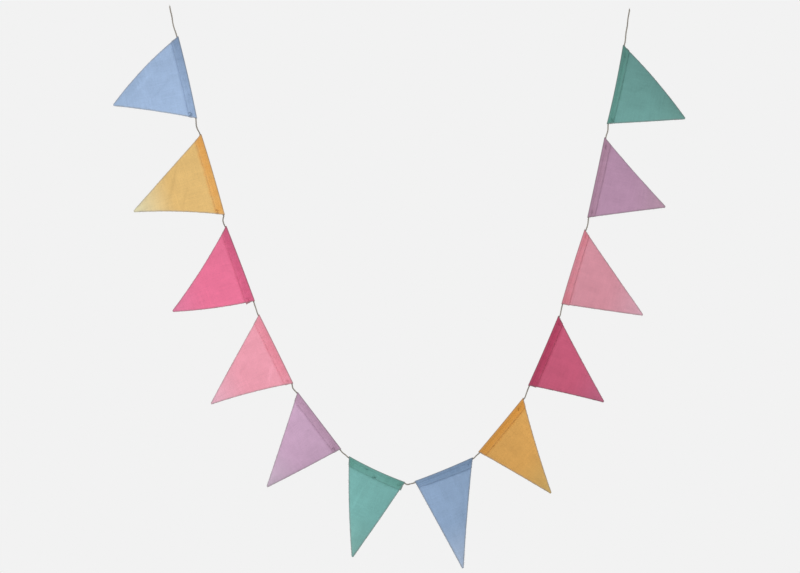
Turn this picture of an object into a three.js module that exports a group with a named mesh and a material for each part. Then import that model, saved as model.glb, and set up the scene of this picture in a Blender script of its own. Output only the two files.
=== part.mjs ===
// Fabric bunting: twelve burlap pennants threaded on one jute twine, hung by the twine's two ends.
// Millimetres, +Z up, +X from the left end towards the right one, hems facing -Y.
// The origin is the left end of the twine.

import * as THREE from "three";

// Driving dimensions
const twineDiameter = 3;
const twineSides = 8;
const clothThickness = 1;
const casingClearance = 0.5;
const hemLayerGap = 0.5;
const tipWidth = 3;
const ripplePitch = 46;

// Grid of one pennant: how finely its cloth is followed
const columns = 10;
const foldStepDegrees = 40;
const foldOpeningDegrees = 60;
const bodyRows = 10;

// Colours of the cloths and the twine
const clothColours = {
  blue: 0x9db4d4,
  ochre: 0xdcb06a,
  pink: 0xdf6d8f,
  rose: 0xe498a8,
  lilac: 0xbf9ab8,
  green: 0x71a49f,
};
const twineColour = 0xb39a7c;

// The twine's route, picked by hand: its ends, where it runs into and out of each pennant's casing,
// and how it bends between them. Steps is the number of tube steps up to the next point.
const route = [
  { x: 0, y: 0, z: 0, steps: 2 },
  { x: 9, y: 0.6, z: -45.5, steps: 2 },
  { x: 14.5, y: 0, z: -61, steps: 4, into: "flag_01_blue" },
  { x: 52, y: 0, z: -225.5, steps: 2, outOf: "flag_01_blue" },
  { x: 54.5, y: 0.5, z: -244, steps: 2 },
  { x: 60.5, y: 0, z: -257, steps: 4, into: "flag_02_ochre" },
  { x: 107.5, y: 0, z: -418.5, steps: 2, outOf: "flag_02_ochre" },
  { x: 106.5, y: -0.5, z: -428.5, steps: 2 },
  { x: 110.5, y: 0, z: -440.5, steps: 2, into: "flag_03_pink" },
  { x: 167.5, y: 0, z: -591, steps: 2, outOf: "flag_03_pink" },
  { x: 172, y: -1.2, z: -603, steps: 2 },
  { x: 176.5, y: 0, z: -618, steps: 2, into: "flag_04_rose" },
  { x: 244.5, y: 0, z: -756, steps: 2, outOf: "flag_04_rose" },
  { x: 246.5, y: 0.6, z: -764.5, steps: 2 },
  { x: 253.5, y: 0, z: -773.5, steps: 2, into: "flag_05_lilac" },
  { x: 340.5, y: 0, z: -887.5, steps: 2, outOf: "flag_05_lilac" },
  { x: 345.5, y: -0.8, z: -893.5, steps: 2 },
  { x: 352, y: -0.6, z: -898, steps: 2 },
  { x: 357.5, y: 0, z: -903, steps: 6, into: "flag_06_green" },
  { x: 469.5, y: 0, z: -955, steps: 2, outOf: "flag_06_green" },
  { x: 475.5, y: 0.8, z: -957.5, steps: 2 },
  { x: 483, y: 0.4, z: -955.5, steps: 2 },
  { x: 491, y: 0, z: -953, steps: 4, into: "flag_07_blue" },
  { x: 607, y: 0, z: -905.5, steps: 2, outOf: "flag_07_blue" },
  { x: 613, y: -0.8, z: -900, steps: 2 },
  { x: 619.5, y: 0, z: -893.5, steps: 2, into: "flag_08_ochre" },
  { x: 709, y: 0, z: -785.5, steps: 2, outOf: "flag_08_ochre" },
  { x: 713, y: 0.8, z: -775.5, steps: 2 },
  { x: 719.5, y: 0, z: -760, steps: 3, into: "flag_09_pink" },
  { x: 780, y: 0, z: -620.5, steps: 2, outOf: "flag_09_pink" },
  { x: 782.5, y: 0.5, z: -610, steps: 2 },
  { x: 786, y: 0, z: -597, steps: 4, into: "flag_10_rose" },
  { x: 832.5, y: 0, z: -447.5, steps: 2, outOf: "flag_10_rose" },
  { x: 836.5, y: -0.8, z: -435.5, steps: 2 },
  { x: 838, y: 0, z: -424, steps: 2, into: "flag_11_lilac" },
  { x: 872.5, y: 0, z: -263, steps: 2, outOf: "flag_11_lilac" },
  { x: 876, y: 0.5, z: -251, steps: 2 },
  { x: 877, y: 0, z: -236.5, steps: 4, into: "flag_12_green" },
  { x: 909.5, y: 0, z: -78.5, steps: 2, outOf: "flag_12_green" },
  { x: 914.5, y: 0.5, z: -43, steps: 2 },
  { x: 919.5, y: 0, z: -6.5, steps: 0 },
];

// Outline of each pennant. Drop: heading edge to tip. Lean: how far the tip lies past the middle of
// the heading, towards its outgoing end. Sag: bow of the heading towards the tip.
// Bow: how far a side curves in (negative: out) at its middle.
const outlines = {
  flag_01_blue: { drop: 157, lean: 22, sag: -1.3, startBow: -7, endBow: 2 },
  flag_02_ochre: { drop: 172, lean: 27.5, sag: -1, startBow: -1, endBow: 3.8 },
  flag_03_pink: { drop: 161.5, lean: 41.5, sag: -0.5, startBow: 4.7, endBow: -3.5 },
  flag_04_rose: { drop: 165, lean: 41, sag: -0.3, startBow: -0.5, endBow: 3 },
  flag_05_lilac: { drop: 164.5, lean: 42.5, sag: 0, startBow: 0.6, endBow: -0.6 },
  flag_06_green: { drop: 179.5, lean: 29, sag: 2.6, startBow: -2.5, endBow: -0.3 },
  flag_07_blue: { drop: 199, lean: -39.5, sag: 1.3, startBow: 0.3, endBow: 1.9 },
  flag_08_ochre: { drop: 164.5, lean: -41, sag: 0.4, startBow: 0.5, endBow: 3 },
  flag_09_pink: { drop: 153, lean: -46, sag: 0.7, startBow: 1.3, endBow: 1.7 },
  flag_10_rose: { drop: 161.5, lean: -51, sag: -0.9, startBow: -0.2, endBow: 0.4 },
  flag_11_lilac: { drop: 148.5, lean: -28.5, sag: 0.2, startBow: 0.3, endBow: 1.4 },
  flag_12_green: { drop: 151, lean: -39, sag: 1.7, startBow: 0, endBow: -3.9 },
};

// Hem of each pennant, turned over to the front. Depth: heading edge to raw edge, at both ends.
// Flare: how far the hem's raw corner stands out past the side. Lift: how far the raw edge stands off.
const hems = {
  flag_01_blue: { startDepth: 16.5, endDepth: 15, startFlare: 0.3, endFlare: 1.2, lift: 0.3 },
  flag_02_ochre: { startDepth: 16, endDepth: 15.5, startFlare: 0.3, endFlare: 0.6, lift: 0.5 },
  flag_03_pink: { startDepth: 14.5, endDepth: 18.5, startFlare: 0, endFlare: 3.5, lift: 0.4 },
  flag_04_rose: { startDepth: 16.5, endDepth: 16.5, startFlare: 0.4, endFlare: 0.9, lift: 0.6 },
  flag_05_lilac: { startDepth: 15.5, endDepth: 16.5, startFlare: 0.9, endFlare: 0.2, lift: 0.3 },
  flag_06_green: { startDepth: 16.5, endDepth: 18.5, startFlare: 0.4, endFlare: 2.5, lift: 0.5 },
  flag_07_blue: { startDepth: 14.5, endDepth: 18.5, startFlare: 0.1, endFlare: 0, lift: 0.4 },
  flag_08_ochre: { startDepth: 15.5, endDepth: 15.5, startFlare: 0.3, endFlare: 0.8, lift: 0.6 },
  flag_09_pink: { startDepth: 16, endDepth: 15, startFlare: 1.5, endFlare: 1, lift: 0.3 },
  flag_10_rose: { startDepth: 15.5, endDepth: 13, startFlare: 1, endFlare: 0.7, lift: 0.5 },
  flag_11_lilac: { startDepth: 14, endDepth: 15.5, startFlare: 0.2, endFlare: 0.1, lift: 0.4 },
  flag_12_green: { startDepth: 11.5, endDepth: 14.5, startFlare: 0.3, endFlare: 1.3, lift: 0.6 },
};

// Fall of each pennant towards the front. Swing: how far its tip hangs out of the garland's plane.
// Curl: how far each side turns out at its middle. Belly: the same for the middle of the cloth.
// Ripple: height of the soft upright folds. Phase: where across the garland they start, in turns.
const falls = {
  flag_01_blue: { swing: 6, startCurl: 3.5, endCurl: -2, belly: 1.5, ripple: 0.9, phase: 0.1 },
  flag_02_ochre: { swing: 9, startCurl: -2.5, endCurl: 3, belly: -1.5, ripple: 1, phase: 0.55 },
  flag_03_pink: { swing: -4, startCurl: -3, endCurl: 2.5, belly: 2, ripple: 0.8, phase: 0.3 },
  flag_04_rose: { swing: 7, startCurl: 2.5, endCurl: -3, belly: -1, ripple: 1.1, phase: 0.8 },
  flag_05_lilac: { swing: -5, startCurl: 4, endCurl: 1.5, belly: 1, ripple: 0.8, phase: 0.45 },
  flag_06_green: { swing: 5, startCurl: -3, endCurl: 3.5, belly: 2, ripple: 1, phase: 0.2 },
  flag_07_blue: { swing: -7, startCurl: 3, endCurl: -2.5, belly: 1.5, ripple: 1.1, phase: 0.7 },
  flag_08_ochre: { swing: 4, startCurl: -2, endCurl: 3, belly: -2, ripple: 0.8, phase: 0.35 },
  flag_09_pink: { swing: -6, startCurl: 3, endCurl: 2, belly: -1.5, ripple: 0.9, phase: 0.9 },
  flag_10_rose: { swing: 8, startCurl: -3.5, endCurl: 2, belly: 1.5, ripple: 1, phase: 0.15 },
  flag_11_lilac: { swing: -3, startCurl: 2, endCurl: -3, belly: 2, ripple: 0.8, phase: 0.6 },
  flag_12_green: { swing: 5, startCurl: -2, endCurl: 3.5, belly: -1, ripple: 0.9, phase: 0.4 },
};

// Sizes that follow from the driving dimensions
const foldRadius = twineDiameter / 2 + casingClearance + clothThickness / 2;
const foldReach = foldRadius + clothThickness / 2;
const layerHalfSpacing = (clothThickness + hemLayerGap) / 2;
const front = new THREE.Vector3(0, -1, 0);

function routePoint(row) {
  return new THREE.Vector3(row.x, row.y, row.z);
}

// The straight line of a casing: where the twine enters it, its direction, and the way down to the tip.
function casingOf(name) {
  const start = routePoint(route.find((row) => row.into === name));
  const end = routePoint(route.find((row) => row.outOf === name));
  const along = end.clone().sub(start).normalize();
  const down = new THREE.Vector3().crossVectors(along, front);
  return { start, end, along, down, length: start.distanceTo(end) };
}

// Direction of the twine at a route point: along its casing with the heading's sag, or past its neighbours.
function routeDirection(index) {
  const row = route[index];
  const name = row.into ?? row.outOf;
  if (name) {
    const casing = casingOf(name);
    const slope = (4 * outlines[name].sag) / casing.length;
    return casing.along.clone().addScaledVector(casing.down, row.into ? slope : -slope);
  }
  const before = routePoint(route[Math.max(index - 1, 0)]);
  const after = routePoint(route[Math.min(index + 1, route.length - 1)]);
  return after.sub(before).normalize();
}

// A smooth curve through the route points, with each point's own number of steps to the next one.
class TwineCurve extends THREE.Curve {
  constructor() {
    super();
    this.steps = route.reduce((sum, row) => sum + row.steps, 0);
    this.spans = [];
    let firstStep = 0;
    for (let index = 0; index + 1 < route.length; index += 1) {
      const from = routePoint(route[index]);
      const to = routePoint(route[index + 1]);
      const chord = from.distanceTo(to);
      const leave = routeDirection(index).multiplyScalar(chord);
      const arrive = routeDirection(index + 1).multiplyScalar(chord);
      this.spans.push({ from, to, leave, arrive, firstStep, steps: route[index].steps });
      firstStep += route[index].steps;
    }
  }

  getPoint(t, target = new THREE.Vector3()) {
    const step = t * this.steps;
    const span = this.spans.findLast((candidate) => candidate.firstStep <= step);
    const share = (step - span.firstStep) / span.steps;
    const rest = 1 - share;
    return target
      .copy(span.from)
      .multiplyScalar(rest * rest * (1 + 2 * share))
      .addScaledVector(span.leave, rest * rest * share)
      .addScaledVector(span.arrive, -rest * share * share)
      .addScaledVector(span.to, share * share * (3 - 2 * share));
  }

  // Equal shares of the curve are equal numbers of steps, so that the bends get more of them.
  getUtoTmapping(u) {
    return u;
  }
}

function twineGeometry() {
  const curve = new TwineCurve();
  const section = new THREE.Shape();
  for (let side = 0; side < twineSides; side += 1) {
    const angle = (2 * Math.PI * side) / twineSides;
    const x = (twineDiameter / 2) * Math.cos(angle);
    const y = (twineDiameter / 2) * Math.sin(angle);
    if (side === 0) section.moveTo(x, y);
    else section.lineTo(x, y);
  }
  section.closePath();
  return new THREE.ExtrudeGeometry(section, { steps: curve.steps, extrudePath: curve });
}

// One point of a pennant's cloth: share is 0 to 1 across it, depth is measured down from the twine,
// height is how far the layer lies in front of the casing's middle, and flare widens the hem.
function clothPoint(flag, share, depth, height, flareShare) {
  const { casing, outline, hem, fall } = flag;
  const reach = THREE.MathUtils.clamp((depth + foldReach) / outline.drop, 0, 1);
  const belowFold = THREE.MathUtils.clamp(depth / (outline.drop - foldReach), 0, 1);
  const hump = 4 * reach * (1 - reach);
  const tip = casing.length / 2 + outline.lean;
  const startEdge = (tip - tipWidth / 2) * reach + outline.startBow * hump - hem.startFlare * flareShare;
  const endEdge =
    THREE.MathUtils.lerp(casing.length, tip + tipWidth / 2, reach) -
    outline.endBow * hump +
    hem.endFlare * flareShare;
  const along = THREE.MathUtils.lerp(startEdge, endEdge, share);
  const headingShare = along / casing.length;
  const sag = 4 * outline.sag * headingShare * (1 - headingShare) * (1 - belowFold);
  const point = casing.start
    .clone()
    .addScaledVector(casing.along, along)
    .addScaledVector(casing.down, depth + sag);
  const rise = belowFold * belowFold * (3 - 2 * belowFold);
  const curl = fall.startCurl * (1 - share) ** 2 + fall.endCurl * share ** 2 + fall.belly * 4 * share * (1 - share);
  const ripple = fall.ripple * Math.sin(2 * Math.PI * (point.x / ripplePitch + fall.phase));
  const relief = fall.swing * belowFold + curl * Math.sin(Math.PI * belowFold) ** 1.5 + ripple * rise;
  return point.addScaledVector(front, height + relief);
}

// Rows of the cloth's middle surface, from the hem's raw edge over the twine and down to the tip.
function clothRows(flag) {
  const layerStart = foldRadius * Math.cos((foldOpeningDegrees * Math.PI) / 180);
  const layerHeight = foldRadius * Math.sin((foldOpeningDegrees * Math.PI) / 180);
  const closingSlope = Math.tan(((90 - foldOpeningDegrees) * Math.PI) / 180);
  const closedDepth = layerStart + (layerHeight - layerHalfSpacing) / closingSlope;
  const rows = [];
  const addRow = (pointAt) => {
    rows.push(Array.from({ length: columns + 1 }, (_, column) => pointAt(column / columns)));
  };
  for (const hemShare of [1, 0.5, 0]) {
    addRow((share) => {
      const rawDepth = THREE.MathUtils.lerp(flag.hem.startDepth, flag.hem.endDepth, share) - foldReach;
      const depth = THREE.MathUtils.lerp(closedDepth, rawDepth, hemShare);
      const height = layerHalfSpacing + flag.hem.lift * hemShare ** 2;
      return clothPoint(flag, share, depth, height, hemShare);
    });
  }
  for (let turn = foldOpeningDegrees; turn <= 360 - foldOpeningDegrees; turn += foldStepDegrees) {
    const angle = (turn * Math.PI) / 180;
    addRow((share) => clothPoint(flag, share, foldRadius * Math.cos(angle), foldRadius * Math.sin(angle), 0));
  }
  for (let row = 0; row <= bodyRows; row += 1) {
    const depth = THREE.MathUtils.lerp(closedDepth, flag.outline.drop - foldReach, row / bodyRows);
    addRow((share) => clothPoint(flag, share, depth, -layerHalfSpacing, 0));
  }
  return rows;
}

// A closed sheet of the cloth's thickness around the rows of its middle surface.
function sheetGeometry(rows) {
  const rowCount = rows.length;
  const columnCount = rows[0].length;
  const positions = [];
  for (const side of [0.5, -0.5]) {
    for (let row = 0; row < rowCount; row += 1) {
      for (let column = 0; column < columnCount; column += 1) {
        const down = rows[Math.min(row + 1, rowCount - 1)][column].clone().sub(rows[Math.max(row - 1, 0)][column]);
        const across = rows[row][Math.min(column + 1, columnCount - 1)]
          .clone()
          .sub(rows[row][Math.max(column - 1, 0)]);
        const normal = across.cross(down).normalize();
        positions.push(...rows[row][column].clone().addScaledVector(normal, side * clothThickness));
      }
    }
  }
  const at = (side, row, column) => (side * rowCount + row) * columnCount + column;
  const triangles = [];
  const addQuad = (a, b, c, d) => triangles.push(a, b, c, a, c, d);
  for (let row = 0; row + 1 < rowCount; row += 1) {
    for (let column = 0; column + 1 < columnCount; column += 1) {
      addQuad(at(0, row, column), at(0, row, column + 1), at(0, row + 1, column + 1), at(0, row + 1, column));
      addQuad(at(1, row, column), at(1, row + 1, column), at(1, row + 1, column + 1), at(1, row, column + 1));
    }
    addQuad(at(0, row, 0), at(0, row + 1, 0), at(1, row + 1, 0), at(1, row, 0));
    const last = columnCount - 1;
    addQuad(at(0, row, last), at(1, row, last), at(1, row + 1, last), at(0, row + 1, last));
  }
  for (let column = 0; column + 1 < columnCount; column += 1) {
    const last = rowCount - 1;
    addQuad(at(0, 0, column), at(1, 0, column), at(1, 0, column + 1), at(0, 0, column + 1));
    addQuad(at(0, last, column), at(0, last, column + 1), at(1, last, column + 1), at(1, last, column));
  }
  const geometry = new THREE.BufferGeometry();
  geometry.setAttribute("position", new THREE.Float32BufferAttribute(positions, 3));
  geometry.setIndex(triangles);
  geometry.computeVertexNormals();
  return geometry;
}

const bunting = new THREE.Group();

for (const name of Object.keys(outlines)) {
  const flag = { casing: casingOf(name), outline: outlines[name], hem: hems[name], fall: falls[name] };
  const cloth = name.split("_").at(-1);
  const material = new THREE.MeshStandardMaterial({ color: clothColours[cloth], roughness: 0.9, metalness: 0 });
  const mesh = new THREE.Mesh(sheetGeometry(clothRows(flag)), material);
  mesh.name = name;
  bunting.add(mesh);
}

const twineMaterial = new THREE.MeshStandardMaterial({ color: twineColour, roughness: 0.95, metalness: 0 });
const twine = new THREE.Mesh(twineGeometry(), twineMaterial);
twine.name = "twine";
bunting.add(twine);

export default bunting;
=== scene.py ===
import math

import bpy
import numpy as np
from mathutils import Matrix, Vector


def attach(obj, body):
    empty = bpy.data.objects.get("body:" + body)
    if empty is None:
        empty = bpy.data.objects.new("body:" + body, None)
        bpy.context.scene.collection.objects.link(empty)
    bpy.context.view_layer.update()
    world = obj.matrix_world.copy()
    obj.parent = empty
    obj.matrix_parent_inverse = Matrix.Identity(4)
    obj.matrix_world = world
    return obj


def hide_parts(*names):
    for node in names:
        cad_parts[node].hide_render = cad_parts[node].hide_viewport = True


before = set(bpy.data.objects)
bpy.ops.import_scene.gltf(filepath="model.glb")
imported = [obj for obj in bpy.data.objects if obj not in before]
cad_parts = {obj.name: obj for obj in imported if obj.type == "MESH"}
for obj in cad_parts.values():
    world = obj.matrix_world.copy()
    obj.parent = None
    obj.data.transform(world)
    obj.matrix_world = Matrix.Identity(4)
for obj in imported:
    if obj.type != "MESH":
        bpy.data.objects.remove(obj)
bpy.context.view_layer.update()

# The view of the hung bunting: square on to it and far enough off that each pennant is seen face on.
# The lens and the distance give 2 mm of bunting to each of the picture's 800 pixels across.
camera_distance = 4.0
lens_mm = 90
sensor_mm = 36
middle_of_view = (0.4606, -0.5612)
view_reach = 30

camera_data = bpy.data.cameras.new("view")
camera_data.lens = lens_mm
camera_data.sensor_width = sensor_mm
camera_data.clip_end = view_reach
camera = bpy.data.objects.new("view", camera_data)
camera.location = (middle_of_view[0], -camera_distance, middle_of_view[1])
camera.rotation_euler = (math.radians(90), 0, 0)
bpy.context.scene.collection.objects.link(camera)
bpy.context.scene.camera = camera


def linear(hex_colour):
    """The linear red, green, blue and alpha of an sRGB hex colour."""
    channels = [int(hex_colour[place : place + 2], 16) / 255 for place in (0, 2, 4)]
    return tuple(c / 12.92 if c <= 0.04045 else ((c + 0.055) / 1.055) ** 2.4 for c in channels) + (1.0,)


def add_node(tree, kind, links=None, **settings):
    """Add a node with its own settings; each input is linked to a socket or a node's output, or set."""
    node = tree.nodes.new(kind)
    for name, value in settings.items():
        setattr(node, name, value)
    for key, value in (links or {}).items():
        if isinstance(value, bpy.types.Node):
            value = next(output for output in value.outputs if output.enabled)
        if isinstance(value, bpy.types.NodeSocket):
            tree.links.new(value, node.inputs[key])
        else:
            node.inputs[key].default_value = value
    return node


# The studio: pale grey paper light all round, one large soft lamp high on the left and a weak one low
# on the right, so that the folds and threads show. The pale floor lies well under the lowest tip.
surround_colour = "f2f2f2"
floor_colour = "e9e9e7"
floor_height = -1.5
floor_radius = 2.0
floor_sides = 96
lamps = {
    "lamp_high_left": {"place": (-1.7, -2.2, 1.0), "size": 1.6, "watts": 26},
    "lamp_low_right": {"place": (2.9, -2.0, -1.0), "size": 1.8, "watts": 6},
}

bpy.context.scene.view_settings.view_transform = "Standard"
world = bpy.data.worlds.new("studio paper")
bpy.context.scene.world = world
world.use_nodes = True
world.node_tree.nodes.clear()
surround = add_node(world.node_tree, "ShaderNodeBackground", {"Color": linear(surround_colour)})
add_node(world.node_tree, "ShaderNodeOutputWorld", {"Surface": surround})

for name, lamp in lamps.items():
    light = bpy.data.lights.new(name, "AREA")
    light.shape = "DISK"
    light.size = lamp["size"]
    light.energy = lamp["watts"]
    light_object = bpy.data.objects.new(name, light)
    light_object.location = lamp["place"]
    aim = Vector((middle_of_view[0], 0, middle_of_view[1])) - light_object.location
    light_object.rotation_euler = aim.to_track_quat("-Z", "Y").to_euler()
    bpy.context.scene.collection.objects.link(light_object)

floor_mesh = bpy.data.meshes.new("floor")
floor_turns = [2 * math.pi * side / floor_sides for side in range(floor_sides)]
floor_rim = [
    (middle_of_view[0] + floor_radius * math.cos(turn), floor_radius * math.sin(turn), floor_height)
    for turn in floor_turns
]
floor_mesh.from_pydata(floor_rim, [], [list(range(floor_sides))])
floor = bpy.data.objects.new("floor", floor_mesh)
bpy.context.scene.collection.objects.link(floor)
floor_paper = bpy.data.materials.new("matt_floor_paper")
floor_paper.use_nodes = True
floor_surface = floor_paper.node_tree.nodes["Principled BSDF"].inputs
floor_surface["Base Color"].default_value = linear(floor_colour)
floor_surface["Roughness"].default_value = 0.9
floor_mesh.materials.append(floor_paper)

# The twine: jute, three plies laid up together, one length threaded through every casing.
# It is limp and hairy, kinks a little between the pennants, and both its ends are bare.
twine_diameter = 0.003
ply_count = 3
sides_per_ply = 5
lay_length = 0.0105
ring_spacing = 0.001
slub_swing = 0.06
slub_waves = (0.021, 0.0083)
slub_middle = 0.2
kink_height = 0.0003
kink_waves = (0.0047, 0.0061)
end_taper_length = 0.002
bare_end_scale = 0.55


def table(columns, rows):
    """Rows of values by name, each as a dictionary with the columns as its keys."""
    return {name: dict(zip(columns, row)) for name, row in rows.items()}


# The twine's course in mm: where it enters and leaves each casing, how far the heading bows towards the
# tip there, and the open points that it passes on its way to the next casing.
first_points = [(0, 0, 0), (9, 0.6, -45.5)]
casings = table(("enters", "leaves", "sag", "open_points"), {
    "flag_01_blue": ((14.5, 0, -61), (52, 0, -225.5), -1.3, [(54.5, 0.5, -244)]),
    "flag_02_ochre": ((60.5, 0, -257), (107.5, 0, -418.5), -1, [(106.5, -0.5, -428.5)]),
    "flag_03_pink": ((110.5, 0, -440.5), (167.5, 0, -591), -0.5, [(172, -1.2, -603)]),
    "flag_04_rose": ((176.5, 0, -618), (244.5, 0, -756), -0.3, [(246.5, 0.6, -764.5)]),
    "flag_05_lilac": ((253.5, 0, -773.5), (340.5, 0, -887.5), 0, [(345.5, -0.8, -893.5), (352, -0.6, -898)]),
    "flag_06_green": ((357.5, 0, -903), (469.5, 0, -955), 2.6, [(475.5, 0.8, -957.5), (483, 0.4, -955.5)]),
    "flag_07_blue": ((491, 0, -953), (607, 0, -905.5), 1.3, [(613, -0.8, -900)]),
    "flag_08_ochre": ((619.5, 0, -893.5), (709, 0, -785.5), 0.4, [(713, 0.8, -775.5)]),
    "flag_09_pink": ((719.5, 0, -760), (780, 0, -620.5), 0.7, [(782.5, 0.5, -610)]),
    "flag_10_rose": ((786, 0, -597), (832.5, 0, -447.5), -0.9, [(836.5, -0.8, -435.5)]),
    "flag_11_lilac": ((838, 0, -424), (872.5, 0, -263), 0.2, [(876, 0.5, -251)]),
    "flag_12_green": ((877, 0, -236.5), (909.5, 0, -78.5), 1.7, [(914.5, 0.5, -43), (919.5, 0, -6.5)]),
})

mm = 0.001
front = np.array([0.0, -1.0, 0.0])
route = [(point, None, 0) for point in first_points]
for name, casing in casings.items():
    route += [(casing["enters"], name, 1), (casing["leaves"], name, -1)]
    route += [(point, None, 0) for point in casing["open_points"]]
route_points = np.array([point for point, _, _ in route]) / 1000


def casing_of(name):
    """Where the twine enters a pennant's casing, the casing's direction, the way down, and its length."""
    start, end = np.array([casings[name]["enters"], casings[name]["leaves"]]) / 1000
    length = np.linalg.norm(end - start)
    along = (end - start) / length
    return start, along, np.cross(along, front), length


def route_direction(row):
    """The twine's direction at a route point: along its casing with the sag, or past its neighbours."""
    _, name, entering = route[row]
    if name:
        _, along, down, length = casing_of(name)
        return along + down * 4 * casings[name]["sag"] * mm / length * entering
    chord = route_points[min(row + 1, len(route) - 1)] - route_points[max(row - 1, 0)]
    return chord / np.linalg.norm(chord)


def twine_rings():
    """Points about every millimetre along the twine's middle line."""
    stretches = []
    for row in range(len(route) - 1):
        chord = np.linalg.norm(route_points[row + 1] - route_points[row])
        steps = math.ceil(chord / ring_spacing)
        share = (np.arange(steps) / steps)[:, None]
        rest = 1 - share
        stretches.append(
            rest**2 * (1 + 2 * share) * route_points[row]
            + rest**2 * share * chord * route_direction(row)
            - rest * share**2 * chord * route_direction(row + 1)
            + share**2 * (3 - 2 * share) * route_points[row + 1]
        )
    return np.vstack(stretches + [route_points[-1:]])


def unit(vectors):
    """Each row of an array brought to length 1."""
    return vectors / np.linalg.norm(vectors, axis=1)[:, None]


def plain_mesh(name, points, triangles):
    """A smooth mesh from an array of points and an array of triangles."""
    mesh = bpy.data.meshes.new(name)
    mesh.vertices.add(len(points))
    mesh.vertices.foreach_set("co", np.asarray(points, dtype=np.float32).ravel())
    mesh.loops.add(triangles.size)
    mesh.loops.foreach_set("vertex_index", triangles.astype(np.int32).ravel())
    mesh.polygons.add(len(triangles))
    mesh.polygons.foreach_set("loop_start", np.arange(0, triangles.size, 3, dtype=np.int32))
    mesh.polygons.foreach_set("use_smooth", np.ones(len(triangles), dtype=bool))
    mesh.update(calc_edges=True)
    mesh.validate()
    piece = bpy.data.objects.new(name, mesh)
    bpy.context.scene.collection.objects.link(piece)
    return piece


def give_numbers(piece, name, values):
    """Store one number, or one vector, for each point of a piece, for its material to read."""
    values = np.asarray(values, dtype=np.float32)
    if values.ndim == 1:
        piece.data.attributes.new(name, "FLOAT", "POINT").data.foreach_set("value", values)
    else:
        piece.data.attributes.new(name, "FLOAT_VECTOR", "POINT").data.foreach_set("vector", values.ravel())


ring_centres = twine_rings()
ring_count = len(ring_centres)
ring_run = np.concatenate([[0], np.cumsum(np.linalg.norm(np.diff(ring_centres, axis=0), axis=1))])
twine_length = float(ring_run[-1])
ring_ways = unit(np.gradient(ring_centres, axis=0))
ring_sides = unit(np.cross(ring_ways, front))
ring_ups = np.cross(ring_ways, ring_sides)

# The section is three touching plies; between them the grooves are as deep as soft jute leaves them.
ply_radius = twine_diameter / 2 / (1 + 1 / math.sin(math.pi / ply_count))
ply_offset = twine_diameter / 2 - ply_radius
twine_sides = ply_count * sides_per_ply
side_turns = 2 * math.pi * np.arange(twine_sides) / twine_sides
ply_turns = (side_turns + math.pi / ply_count) % (2 * math.pi / ply_count) - math.pi / ply_count
half_chord = np.sqrt(np.clip(ply_radius**2 - (ply_offset * np.sin(ply_turns)) ** 2, 0, None))
section_radii = ply_offset * np.cos(ply_turns) + half_chord
groove_depth = (section_radii.max() - section_radii) / (section_radii.max() - section_radii.min())
slub_wave = np.sin(ring_run / slub_waves[0]) * np.sin(ring_run / slub_waves[1])
slubs = 1 + slub_swing * (slub_wave - slub_middle)
end_taper = np.clip(np.minimum(ring_run, twine_length - ring_run) / end_taper_length, 0, 1) ** 0.5
ring_scale = slubs * (bare_end_scale + (1 - bare_end_scale) * end_taper)
turned = side_turns[None, :] + (2 * math.pi * ring_run / lay_length)[:, None]
kinks = kink_height * (
    np.sin(ring_run / kink_waves[0])[:, None] * ring_sides
    + np.sin(ring_run / kink_waves[1] + 1)[:, None] * ring_ups
)
radii = section_radii[None, :] * ring_scale[:, None]
twine_points = (
    (ring_centres + kinks)[:, None, :]
    + (radii * np.cos(turned))[:, :, None] * ring_sides[:, None, :]
    + (radii * np.sin(turned))[:, :, None] * ring_ups[:, None, :]
).reshape(-1, 3)
side = np.arange(twine_sides)
next_side = (side + 1) % twine_sides
ring_start = np.arange(ring_count - 1)[:, None] * twine_sides
next_start = ring_start + twine_sides
twine_quads = np.stack(
    [ring_start + side, ring_start + next_side, next_start + next_side, next_start + side], axis=-1
).reshape(-1, 4)
first_tip = np.full(twine_sides, len(twine_points))
last_ring = (ring_count - 1) * twine_sides
twine_triangles = [
    twine_quads[:, [0, 1, 2]],
    twine_quads[:, [0, 2, 3]],
    np.stack([first_tip, next_side, side], axis=-1),
    np.stack([first_tip + 1, last_ring + side, last_ring + next_side], axis=-1),
]
twine_points = np.vstack([twine_points, (ring_centres + kinks)[[0, -1]]])
twine = plain_mesh("jute_twine", twine_points, np.vstack(twine_triangles))
give_numbers(twine, "groove", np.append(np.tile(groove_depth, ring_count), [0.5, 0.5]))
lay_run = np.repeat(ring_run, twine_sides)
lay_turn = np.tile(side_turns * twine_diameter / 2, ring_count)
lay = np.stack([lay_run, lay_turn, lay_run * 0], axis=-1)
give_numbers(twine, "lay", np.vstack([lay, [[0, 0, 0], [twine_length, 0, 0]]]))


def empty_material(name):
    """A new material and its cleared node tree."""
    material = bpy.data.materials.new(name)
    material.use_nodes = True
    material.node_tree.nodes.clear()
    return material, material.node_tree


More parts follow.
